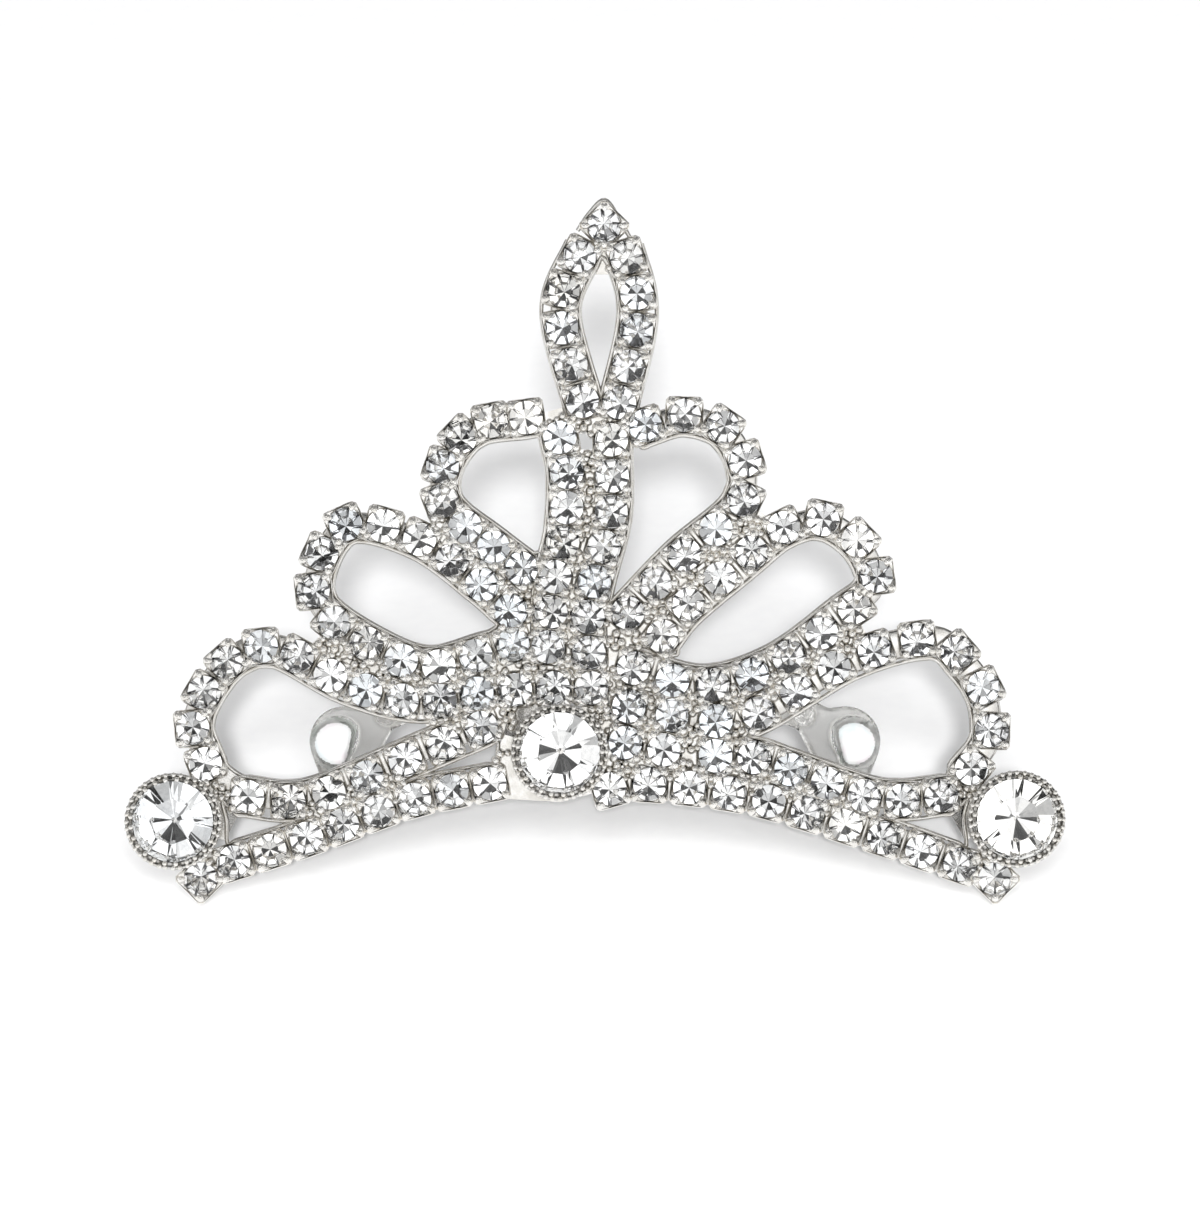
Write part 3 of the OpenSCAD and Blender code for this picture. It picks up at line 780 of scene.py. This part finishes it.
# Plates: corners at a tip, at a setting, along a row from one stone to another or at a place
webs = [
    ["topTip", ("spireLeft", 0, 0), (-1.3, 54), (2, 54), ("spireRight", 0, 0)],
    [("topLeft", 0, 0), ("spireLeft", 4, 4), ("spireRight", 4, 4), ("topRight", 0, 0),
     ("columnRight", 0, 0), (-0.9, 40.4), ("columnLeft", 0, 0)],
    [(-2.4, 39), ("columnLeft", 1, 6), ("columnRight", 6, 1), (0.6, 39)],
    [("topLeft", 4, 7), ("columnLeft", 4, 6), ("midLeft", 13, 13), ("midLeft", 0, 3)],
    [("columnRight", 4, 6), ("midRight", 14, 14), ("midRight", 0, 4), ("topRight", 4, 8)],
    [("midLeft", 8, 13), ("columnLeft", 6, 6), ("columnRight", 6, 6), ("lowLeft", 13, 5)],
    [("midRight", 8, 14), ("columnRight", 6, 6), ("lowLeft", 13, 13), ("lowRight", 11, 5)],
    [("lowLeft", 8, 12), "centre_stone", ("baseUpLeft", 6, 5)],
    [("lowLeft", 11, 12), "centre_stone", ("baseLowLeft", 7, 7)],
    [("baseUpLeft", 1, 4), ("baseLowLeft", 5, 2)],
    [("baseLowLeft", 7, 7), (-8, 9.1), (-3, 8.8), ("baseLowRight", 9, 9), "centre_stone"],
    [("baseUpRight", 2, 6), ("innerRight", 0, 1), "centre_stone", ("baseLowRight", 9, 3)],
    [("lowRight", 8, 11), ("innerRight", 1, 0), ("baseUpRight", 6, 5)],
    [("lowLeft", 13, 13), "centre_stone", ("innerRight", 1, 1), ("lowRight", 11, 11)],
    [("lowLeft", 0, 0), "left_stone", ("baseUpLeft", 0, 0), (-31, 11.4)],
    [("lowRight", 0, 0), "right_stone", ("baseUpRight", 0, 0), (30.4, 11.2)],
    ["leftTip", "left_stone", ("baseLowLeft", 0, 0)],
    ["rightTip", "right_stone", ("baseLowRight", 0, 0)],
    ["left_stone", ("baseUpLeft", 0, 0), (-31.7, 9), (-31.4, 7.3), (-31.7, 5.5)],
    ["right_stone", ("baseUpRight", 0, 0), (31.7, 9.2), (31.4, 7.5), (31.7, 5.5)],
]


def ribbonSection(half):
    # rounded flat bar, seen along the row
    edge = min(ribbon["edge"], half * 0.9)
    section = []
    for cx, cw, start in ((half - edge, ribbon["thick"] - edge, 0),
                          (-half + edge, ribbon["thick"] - edge, 90),
                          (-half + edge, edge, 180), (half - edge, edge, 270)):
        for k in range(ribbon["edgeSteps"] + 1):
            angle = math.radians(start + 90 * k / ribbon["edgeSteps"])
            section.append((cx + edge * math.cos(angle), cw + edge * math.sin(angle)))
    return section


def addRibbon(pile, row):
    route, (first, last) = row["route"], row["side"]
    over = ribbon["halfWidth"]
    count = math.ceil((route.length + 2 * over) / ribbon["step"])
    rings = []
    for i in range(count + 1):
        t = -over + (route.length + 2 * over) * i / count
        past = max(-t, t - route.length, 0)
        half = max(math.sqrt(max(over ** 2 - past ** 2, 0)), ribbon["leastHalf"])
        share = min(max(t / route.length, 0), 1)
        shift = ribbon["shift"] * (first + (last - first) * share)
        way, at = route.way(t), route.at(t)
        left = Vector((-way.y, way.x))
        rings.append([(*(at + left * (shift + s)), w) for s, w in ribbonSection(half)])
    addRings(pile, rings)


def webOutline(web):
    outline = []
    for part in web:
        if isinstance(part, str):
            outline.append(settings.get(part) or tipCups[part])
        elif isinstance(part[0], str):
            name, first, last = part
            step = -1 if last < first else 1
            outline += [tuple(rows[name]["places"][i][0]) for i in range(first, last + step, step)]
        else:
            outline.append(part)
    return outline


def addWire(pile, line, closed=False):
    rings = []
    for i, at in enumerate(line):
        after = line[(i + 1) % len(line)] if closed else line[min(i + 1, len(line) - 1)]
        before = line[i - 1] if closed else line[max(i - 1, 0)]
        way = (after - before).normalized()
        left = Vector((-way.y, way.x))
        ring = []
        for k in range(rail["around"]):
            angle = 2 * math.pi * k / rail["around"]
            out = at + left * rail["side"] * math.cos(angle)
            ring.append((out.x, out.y, rail["w"] + rail["rise"] * math.sin(angle)))
        rings.append(ring)
    if closed:
        rings.append(rings[0])
    addRings(pile, rings, not closed, not closed)


def besideRow(name, first, last, side, offset=rail["offset"]):
    # places along one side of a row, from the stone first to the stone last
    route, gap = rows[name]["route"], rows[name]["gap"]
    onward = 1 if last >= first else -1
    start, end = first * gap - onward * rail["past"], last * gap + onward * rail["past"]
    count = math.ceil(abs(end - start) / rail["step"])
    line = []
    for i in range(count + 1):
        t = start + (end - start) * i / count
        way = route.way(t)
        line.append(route.at(t) + Vector((-way.y, way.x)) * side * offset)
    return line


def smoothRing(points, steps=4):
    # a smooth closed line through the points
    ring = []
    for i in range(len(points)):
        a, b, c, d = (points[(i + k) % len(points)] for k in (-1, 0, 1, 2))
        ring += [between(a, b, c, d, k / steps) for k in range(steps)]
    return ring


def makeRails():
    pile = newPile()
    for hole in holes:
        ring = []
        for part in hole:
            ring += besideRow(*part) if isinstance(part[0], str) else [Vector(part)]
        ring = [at for at in ring if roomAt(at) > rail["least"] - smallCut["radius"]]
        spaced = [ring[0]]
        for at in ring[1:]:
            if min((at - spaced[-1]).length, (at - ring[0]).length) > rail["apart"]:
                spaced.append(at)
        addWire(pile, smoothRing(spaced), True)
    for edge in edges:
        addWire(pile, smoothLine(besideRow(*edge, rail["edgeOffset"]), rail["edgeSteps"]))
    addWire(pile, smoothLine(gable, rail["gableSteps"]))
    makePiece("rails", pile, [silver], ["crown_frame"], softAngle=60)


def makeBacking():
    pile = newPile()
    for row in rows.values():
        addRibbon(pile, row)
    for web in webs:
        outline = webOutline(web)
        addRings(pile, [[(x, u, w) for x, u in outline] for w in plate.values()])
    makePiece("backing", pile, [silver], ["crown_frame"], softAngle=40)


# Clear comb: the frame's own comb with its edges rounded off, and a bulging lens on each end
# tooth where it shows through the lowest openings

comb = dict(voxel=0.00017, weld=1e-7, softenBy=0.5, softenTimes=6)
lens = dict(x=22.2, u=13.8, radius=2.05, cut=1.35, cutTurn=12, rise=0.85, base=-0.6,
            bulge=0.62, corner=12, around=40, rings=9, face=0.86, rim=1.12, rimFrom=-0.5)


def lensReach(angle, side):
    # a circle cut off on the side towards the crown's middle
    facing = math.radians(lens["cutTurn"] if side > 0 else -lens["cutTurn"])
    facing += math.pi if side > 0 else 0
    towards = math.cos(angle - facing)
    cutOff = lens["cut"] / max(towards, tiny)
    power = lens["corner"]
    return 1 / (1 / lens["radius"] ** power + 1 / cutOff ** power) ** (1 / power)


def addLens(pile, side):
    rings = []
    for k in range(lens["rings"] + 1):
        rise = math.pi / 2 * k / lens["rings"]
        share = max(math.cos(rise) ** lens["bulge"], tiny)
        w = lens["base"] + (lens["rise"] - lens["base"]) * math.sin(rise) ** lens["bulge"]
        ring = []
        for i in range(lens["around"]):
            angle = 2 * math.pi * i / lens["around"]
            r = lensReach(angle, side) * share
            ring.append((side * lens["x"] + r * math.cos(angle), lens["u"] + r * math.sin(angle), w))
        rings.append(ring)
    addRings(pile, rings)


def combFinish(at):
    # 1 on the bright face of either lens, a painted highlight, 2 on its rim, painted dark as shade,
    # and 0 elsewhere
    side = 1 if at.x > 0 else -1
    out = Vector((at.x - side * lens["x"], at.y - lens["u"]))
    share = out.length / lensReach(math.atan2(out.y, out.x), side)
    if share < lens["face"] and at.z > 0:
        return 1
    return 2 if share < lens["rim"] and at.z > lens["rimFrom"] else 0


def makeComb():
    pile = newPile()
    for side in (-1, 1):
        addLens(pile, side)
    heads = bpy.data.meshes.new("combHeads")
    heads.from_pydata(pile["points"], [], pile["faces"])
    heads.transform(standUp)
    work = bmesh.new()
    work.from_mesh(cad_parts["hair_comb"].data)
    work.from_mesh(heads)
    bmesh.ops.remove_doubles(work, verts=work.verts, dist=comb["weld"])
    bmesh.ops.recalc_face_normals(work, faces=work.faces)
    rough = bpy.data.meshes.new("combRough")
    work.to_mesh(rough)
    work.free()
    source = bpy.data.objects.new("combSource", rough)
    bpy.context.scene.collection.objects.link(source)
    remesh = source.modifiers.new("Remesh", "REMESH")
    remesh.mode = "VOXEL"
    remesh.voxel_size = comb["voxel"]
    soften = source.modifiers.new("Soften", "SMOOTH")
    soften.factor = comb["softenBy"]
    soften.iterations = comb["softenTimes"]
    seen = source.evaluated_get(bpy.context.evaluated_depsgraph_get())
    mesh = bpy.data.meshes.new_from_object(seen)
    bpy.data.objects.remove(source)
    mesh.name = "clearComb"
    mesh.materials.clear()
    # plain clear plastic, the lenses' painted highlight and their rims' painted shade
    for material in (plastic, lensPaintedHighlight, lensRimPaintedShade):
        mesh.materials.append(material)
    layDown = standUp.inverted()
    mesh.polygons.foreach_set("material_index",
                              [combFinish(layDown @ face.center) for face in mesh.polygons])
    mesh.polygons.foreach_set("use_smooth", [True] * len(mesh.polygons))
    piece = bpy.data.objects.new("clearComb", mesh)
    bpy.context.scene.collection.objects.link(piece)
    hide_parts("hair_comb")
    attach(piece, "root")
    print("clearComb has", len(mesh.polygons) * 2, "triangles")


makeBacking()
makeRails()
makeCups()
makeSettings()
makeStones()
makeComb()


# Floor, lights and camera

def makeFloor(size=30.0):
    mesh = bpy.data.meshes.new("floor")
    mesh.from_pydata([(-size, -size, 0), (size, -size, 0), (size, size, 0), (-size, size, 0)],
                     [], [(0, 1, 2, 3)])
    mesh.materials.append(floorCard())
    floor = bpy.data.objects.new("floor", mesh)
    bpy.context.scene.collection.objects.link(floor)


# The camera looks square at the leaned crown: the middle of the picture, how wide the crown's
# plane is seen there and how far away it is, all in millimetres
view = dict(centreX=0.43, centreU=25.25, plane=1.0, width=102.7, distance=600.0, sensor=36.0)


def makeCamera():
    target = standUp @ Vector((view["centreX"], view["centreU"], view["plane"]))
    towards = Vector((0, -math.cos(lean), math.sin(lean)))
    data = bpy.data.cameras.new("camera")
    data.sensor_fit = "HORIZONTAL"
    data.sensor_width = view["sensor"]
    data.lens = view["sensor"] * view["distance"] / view["width"]
    data.clip_start, data.clip_end = 0.01, 100
    camera = bpy.data.objects.new("camera", data)
    camera.location = target + towards * view["distance"] * 0.001
    camera.rotation_mode = "QUATERNION"
    camera.rotation_quaternion = (-towards).to_track_quat("-Z", "Y")
    bpy.context.scene.collection.objects.link(camera)
    bpy.context.scene.camera = camera


lampsAim = 25.0    # height up the crown that every lamp is turned to

# Each panel: which way it lies from the crown (0 is in front, 90 to the right) and how high,
# its distance and size in metres, and its power in watts
panels = {
    "key": dict(turn=0, rise=27.5, far=4.0, size=(0.2, 0.2), watts=152, seenInMetal=False),
    "softTop": dict(turn=0, rise=37, far=2.4, size=(0.6, 0.5), watts=29, seenInMetal=False),
    "backTop": dict(turn=180, rise=50, far=1.1, size=(0.6, 0.4), watts=0.8),
    "frontCard": dict(turn=0, rise=27, far=1.1, size=(0.42, 0.3), watts=0.22),
}

# The studio all round: bright cloth with grey folds and dark gaps in it, dimmer behind the
# crown and overhead, and pale near the horizon
studio = dict(strength=1.2, dark=0.012, grey=0.42, pale=0.62, paleTo=0.12, clothFrom=0.22,
              behind=0.35, behindFrom=0.3, above=0.35, aboveTo=0.62, aboveFrom=0.85,
              cards=3.4, darkTo=0.4, greyFrom=0.41, greyTo=0.44, brightFrom=0.46)


def makeWorld():
    world = bpy.data.worlds.new("studio")
    bpy.context.scene.world = world
    world.use_nodes = True
    nodes, links = world.node_tree.nodes, world.node_tree.links
    place = nodes.new("ShaderNodeTexCoord")
    split = nodes.new("ShaderNodeSeparateXYZ")
    links.new(place.outputs["Generated"], split.inputs["Vector"])
    cards = nodes.new("ShaderNodeTexNoise")
    cards.inputs["Scale"].default_value = studio["cards"]
    cards.inputs["Detail"].default_value = 0
    links.new(place.outputs["Generated"], cards.inputs["Vector"])
    cloth = addRamp(nodes, links, cards.outputs["Fac"], [
        (studio["darkTo"], [studio["dark"]] * 3), (studio["greyFrom"], [studio["grey"]] * 3),
        (studio["greyTo"], [studio["grey"]] * 3), (studio["brightFrom"], [1.0] * 3)])
    behind = addRamp(nodes, links, split.outputs["Y"],
                     [(0.0, [1.0] * 3), (studio["behindFrom"], [studio["behind"]] * 3)])
    above = addRamp(nodes, links, split.outputs["Z"],
                    [(studio["aboveTo"], [1.0] * 3),
                     (studio["aboveFrom"], [studio["above"]] * 3)])
    dimmed = addProduct(nodes, links, cloth.outputs["Color"], behind.outputs["Color"])
    dimmed = addProduct(nodes, links, dimmed, above.outputs["Color"])
    height = addRamp(nodes, links, split.outputs["Z"],
                     [(studio["paleTo"], [0.0] * 3), (studio["clothFrom"], [1.0] * 3)])
    mix = nodes.new("ShaderNodeMix")
    mix.data_type = "RGBA"
    links.new(height.outputs["Color"], mix.inputs["Factor"])
    mix.inputs["A"].default_value = [studio["pale"]] * 3 + [1]
    links.new(dimmed, mix.inputs["B"])
    links.new(mix.outputs["Result"], nodes["Background"].inputs["Color"])
    nodes["Background"].inputs["Strength"].default_value = studio["strength"]


def makeLights():
    centre = standUp @ Vector((0, lampsAim, 0))
    for name, panel in panels.items():
        turn, rise = math.radians(panel["turn"]), math.radians(panel["rise"])
        out = Vector((math.sin(turn) * math.cos(rise), -math.cos(turn) * math.cos(rise),
                      math.sin(rise)))
        data = bpy.data.lights.new(name, "AREA")
        data.shape = "RECTANGLE"
        data.size, data.size_y = panel["size"]
        data.energy = panel["watts"]
        lamp = bpy.data.objects.new(name, data)
        lamp.location = centre + out * panel["far"]
        lamp.rotation_mode = "QUATERNION"
        lamp.rotation_quaternion = (-out).to_track_quat("-Z", "Y")
        lamp.visible_camera = False
        lamp.visible_glossy = panel.get("seenInMetal", True)
        lamp.visible_transmission = lamp.visible_glossy
        bpy.context.scene.collection.objects.link(lamp)


makeFloor()
makeCamera()
makeLights()
makeWorld()
print("floor, camera, studio and", len(panels), "lamps are in place")
scene = bpy.context.scene
scene.view_settings.view_transform = "Standard"
scene.cycles.max_bounces = 20          # light goes to and fro between the foils
scene.cycles.glossy_bounces = 14
scene.cycles.transmission_bounces = 14
